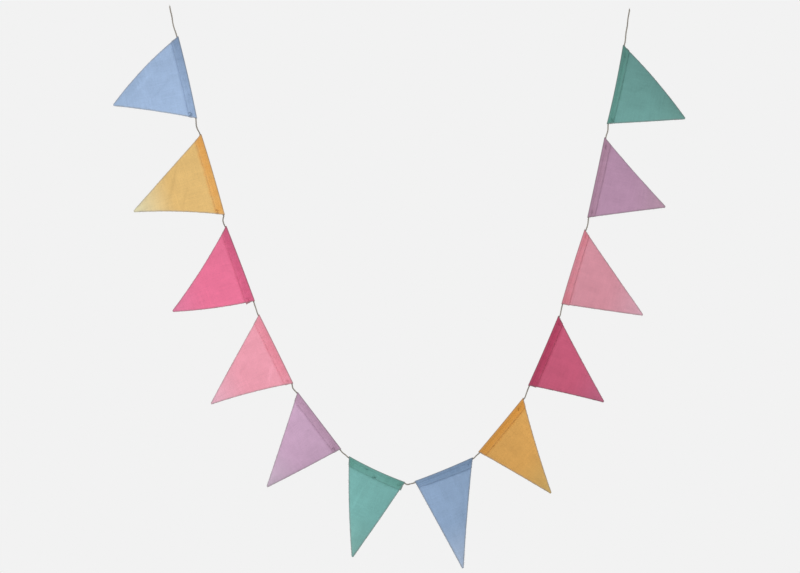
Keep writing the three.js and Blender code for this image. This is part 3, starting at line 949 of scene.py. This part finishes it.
def dye_numbers(pennant, cloth, along, share, run, seed):
    """How double the cloth is, how much paler towards the tip, how dark at its edges from wear and painted
    shade, and its tone with its painted light and shade, at each of its points.
    """
    depth, _, _ = pennant.layers(share, run)
    below_top = depth + fold_reach
    below = np.clip(depth / (pennant.drop - fold_reach), 0, 1)

    # The double cloth's deeper colour, painted shade for the light that comes less through two layers, fades
    # out over a few mm either side of the hem's raw edge.
    hem_line = pennant.raw_depth(share) + hem_line_wander * wandering(along, hem_line_wave, seed)
    layered = 1 - np.clip((depth - hem_line + hem_blur) / (hem_blur_span * hem_blur), 0, 1)
    first, middle, last = cloth["hem"]
    strength = (
        first * (1 - share) * (1 - 2 * share)
        + middle * hump(share)
        + last * share * (2 * share - 1)
        + hem_strength_wander * wandering(along, hem_strength_wave, seed + 20)
    )

    start_side, end_side = pennant.sides(depth, np.zeros_like(depth))
    to_side = np.maximum(np.minimum(along - start_side, end_side - along), 0)
    uneven_side = side_wear_and_shade[0] + side_wear_and_shade[1] * wandering(run, side_wear_and_shade_wave, seed + 80)
    uneven_hem = hem_edge_wear_and_shade[0] + hem_edge_wear_and_shade[1] * wandering(along, hem_edge_wear_and_shade_wave, seed + 50)
    # Darkened edges: the raw sides and the hem's raw edge, partly worn and partly painted shade, and the
    # fold, painted shade where it turns over the twine.
    edge_darkening = [
        np.clip(1 - to_side / darkened_edge_width, 0, 1) ** 1.5 * uneven_side,
        np.clip(1 - run / darkened_edge_width, 0, 1) ** 2 * uneven_hem,
        np.clip(1 - np.abs(below_top) / fold_painted_shade_width, 0, 1) * fold_painted_shade,
    ]

    # The tone: brighter or darker from side to side across the pennant, painted light and shade following the
    # ripples and the creases, and painted shade on the roll over the twine.
    across_bunting = (pennant.start[0] + along * pennant.along[0]) / ripple_pitch
    tone = (
        1
        + cloth["across"] * (share - 0.5)
        + ripple_painted_light_and_shade * np.sin(2 * math.pi * (across_bunting + pennant.phase)) * eased(below)
        + crease_painted_light_and_shade * pennant.crease_height(along, depth) / crease_of_full_light_and_shade
        - roll_shade * np.exp(-below_top / roll_width)
    )
    # Painted shade round each tack, where the thread pulls the cloth in.
    for before_end, below_fold, plainness in tack_places[pennant.name]:
        aside = pennant.length - before_end * mm - along
        away = np.hypot(aside, (below_top - below_fold * mm) * pucker_flatness)
        tone = tone - plainness * pucker_shade * np.exp(-((away / pucker_width) ** 2))
    return {
        "double": strength * eased(layered),
        # Paler towards the tip.
        "tip_paleness": np.clip((below - tip_paleness_start) / (1 - tip_paleness_start), 0, 1) ** 1.3,
        "edge": strongest_edge_darkening * np.maximum.reduce(edge_darkening),
        "tone": tone,
    }


pennants = {}
for number, name in enumerate(outlines):
    pennant = Pennant(name)
    along, share, run, relief, faces = woven_grid(pennant, np.random.default_rng(number))
    thinning = raw_edge_thinning * np.clip(1 - run / raw_edge_run, 0, 1)
    points = pennant.place(share, run) - (thinning * cloth_thickness / 2)[:, None] * front
    _, _, normals = pennant.directions(share, run)
    piece = closed_cloth("pennant" + name[4:], points, normals, relief, 1 - thinning, faces)
    numbers = dye_numbers(pennant, cloths[name], along, share, run, number)
    numbers["threads"] = np.stack([along, run, run * 0], axis=-1)
    for label, values in numbers.items():
        give_numbers(piece, label, np.concatenate([values, values]))
    piece.data.materials.append(burlap_material("burlap_" + name[5:], cloths[name]))
    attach(piece, "root")
    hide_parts(name)
    corners = points[faces]
    spans = np.cross(corners[:, 1] - corners[:, 0], corners[:, 2] - corners[:, 0])
    cut_area = np.sum(np.linalg.norm(spans, axis=1)) / 2
    pennants[name] = {"surface": pennant, "piece": piece, "area": float(cut_area)}

# The tacks: each hem is held by a few stitches of thread, crossed through both layers of the cloth.
# The thread is dyed with the cloth but deeper; where it pulls the cloth in, painted shade round it darkens
# the cloth's tone.
tack_thread = 0.6 * mm
tack_arm = 7 * mm
tack_bulge = 1.1 * mm
tack_dye_depths = (0.85, 0.33)
tack_turn_wander = 9
# Each stitch of a tack: its middle along and across the heading and its length, as shares of an arm,
# and its turn in degrees.
tack_stitches = [((0, 0), 1, 48), ((0.04, 0), 1, -42), ((-0.5, 0.1), 0.55, 84), ((0.45, -0.05), 0.5, 95)]


def spun_yarn_material(name, colour):
    """Dyed jute yarn or thread, spun: matt fibre, unevenly deep in colour along its length, darkened by each
    strand's number for its dye and, on the pennants' sides, painted shade.
    """
    slub = 0.0012
    material, tree = empty_material(name)
    place = add_node(tree, "ShaderNodeTexCoord").outputs["Object"]
    fibres = add_node(
        tree, "ShaderNodeTexNoise", {"Vector": place, "Scale": 1 / slub, "Detail": 2.0, "Roughness": 0.6}
    )
    shade = add_node(
        tree, "ShaderNodeMapRange",
        {"Value": fibres, "From Min": 0.3, "From Max": 0.7, "To Min": 0.75, "To Max": 1.15},
    )
    dye_depth_and_shade = add_node(tree, "ShaderNodeAttribute", attribute_name="dye_depth_and_shade")
    for factor in (shade, dye_depth_and_shade):
        colour = add_node(
            tree, "ShaderNodeMix",
            {"Factor": 1.0, "A": colour, "B": factor}, data_type="RGBA", blend_type="MULTIPLY",
        )
    surface = add_node(
        tree, "ShaderNodeBsdfPrincipled",
        {"Base Color": colour, "Roughness": 0.9, "Specular IOR Level": 0.2, "Sheen Weight": 0.1},
    )
    add_node(tree, "ShaderNodeOutputMaterial", {"Surface": surface})
    return material


for number, (name, hung) in enumerate(pennants.items()):
    pennant = hung["surface"]
    chance = np.random.default_rng(100 + number)
    starts, ways, outwards, dye_and_shade_depths = [], [], [], []
    for before_end, below_fold, plainness in tack_places[name]:
        heading_share = 1 - before_end * mm / pennant.length
        depth = max(below_fold * mm - fold_reach, closed_depth)
        into_hem = (depth - closed_depth) / (pennant.raw_depth(heading_share) - closed_depth)
        hem_run = pennant.hem_run * (1 - into_hem)
        body_run = pennant.body_start + depth - closed_depth
        for layer_run, down_sign in ((hem_run, -1), (body_run, 1)):
            for middle, length, turn in tack_stitches:
                turn = math.radians(turn + chance.uniform(-tack_turn_wander, tack_turn_wander))
                way = np.array([math.cos(turn), math.sin(turn)])
                first = tack_arm * (np.array(middle) - way * length / 2)
                share = np.array([heading_share + first[0] / pennant.length])
                run = np.array([layer_run + down_sign * first[1]])
                normal = pennant.directions(share, run)[2][0]
                starts.append(pennant.place(share, run)[0] + (cloth_thickness / 2 - crown_height) * normal)
                ways.append((way[0] * pennant.along + way[1] * pennant.down) * length)
                outwards.append(normal)
                dye_and_shade_depths.append(tack_dye_depths[0] * (1 - plainness) + tack_dye_depths[1] * plainness)
    hung["tack"] = strands(
        "tack" + name[4:], starts, ways, outwards, dye_and_shade_depths,
        {"Length": tack_arm, "Thickness": tack_thread, "Bend": tack_bulge, "Unevenness": 0.35, "Seed": number,
         "Sides": 6, "Steps": 6,
         "Material": spun_yarn_material("thread_" + name[5:], linear(cloths[name]["double"]))},
    )
    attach(hung["tack"], "root")

# The raw edges: the pennants are cut, not hemmed, on their two sides and along the turned-over edge.
# Each cut yarn stands out a little way, and finer fibres have come loose from it.
yarn_end = {
    "Length": 1.3 * mm, "Thickness": 0.55 * mm, "Bend": 0.1 * mm, "Unevenness": 0.7, "Sides": 4, "Steps": 1,
}
loose_fibre = {
    "Length": 2.6 * mm, "Thickness": 0.13 * mm, "Bend": 0.6 * mm, "Unevenness": 0.8, "Sides": 3, "Steps": 2,
}
yarn_end_root = 0.6 * mm
yarn_end_spacing = 1.5 * mm
loose_fibre_spacing = 1.1 * mm
yarn_lean = 0.45
fibre_lean = 1.3
lean_out_of_cloth = 0.4
# The yarn ends and loose fibres on the sides are darkened, partly as worn cut ends and partly as painted
# shade along the edge.
side_end_wear_and_shade = 0.42
hem_dye_depth = 1.0


def cut_edge(pennant, spacing, lean, chance):
    """Points along the raw sides and the hem's raw edge, ways out of the cloth, normals and depths of dye,
    with painted shade on the sides.
    """
    side_run = np.arange(0.5, pennant.full_run / spacing - 0.5) * spacing
    hem_share = np.arange(0.5, pennant.length / spacing - 0.5) * spacing / pennant.length
    share = np.concatenate([side_run * 0, side_run * 0 + 1, hem_share])
    run = np.concatenate([side_run, side_run, hem_share * 0])
    points = pennant.place(share, run)
    across, downward, normals = pennant.directions(share, run)
    on_side = (np.arange(len(share)) < 2 * len(side_run))[:, None]
    edge_line = unit(np.where(on_side, downward, across))
    outward = np.where(on_side, across * np.where(share > 0.5, 1, -1)[:, None], -downward)
    outward = unit(outward - np.sum(outward * edge_line, axis=1)[:, None] * edge_line)
    ways = (
        outward
        + chance.uniform(-lean, lean, len(share))[:, None] * edge_line
        + chance.uniform(-lean, lean, len(share))[:, None] * lean_out_of_cloth * normals
    )
    jitter = chance.uniform(-0.5, 0.5, len(share))[:, None] * spacing * edge_line
    dye_and_shade_depths = np.where(on_side[:, 0], side_end_wear_and_shade, hem_dye_depth)
    dye_and_shade_depths = dye_and_shade_depths * chance.uniform(0.85, 1.15, len(share))
    return points + jitter - yarn_end_root * outward, ways, normals, dye_and_shade_depths


for number, (name, hung) in enumerate(pennants.items()):
    pennant = hung["surface"]
    chance = np.random.default_rng(200 + number)
    yarn = spun_yarn_material("yarn_" + name[5:], linear(cloths[name]["single"]))
    for label, sizes, spacing, lean in (
        ("cut_yarns", yarn_end, yarn_end_spacing, yarn_lean),
        ("loose_fibres", loose_fibre, loose_fibre_spacing, fibre_lean),
    ):
        hung[label] = strands(
            label + name[4:], *cut_edge(pennant, spacing, lean, chance),
            {**sizes, "Seed": number, "Material": yarn},
        )
        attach(hung[label], "root")

# How the pennants hang: each is one cut of cloth, turned over the twine, with its tack and its loose
# yarn. Nothing but the twine holds it.
for hung in pennants.values():
    width, length = hung["surface"].length, hung["surface"].full_run
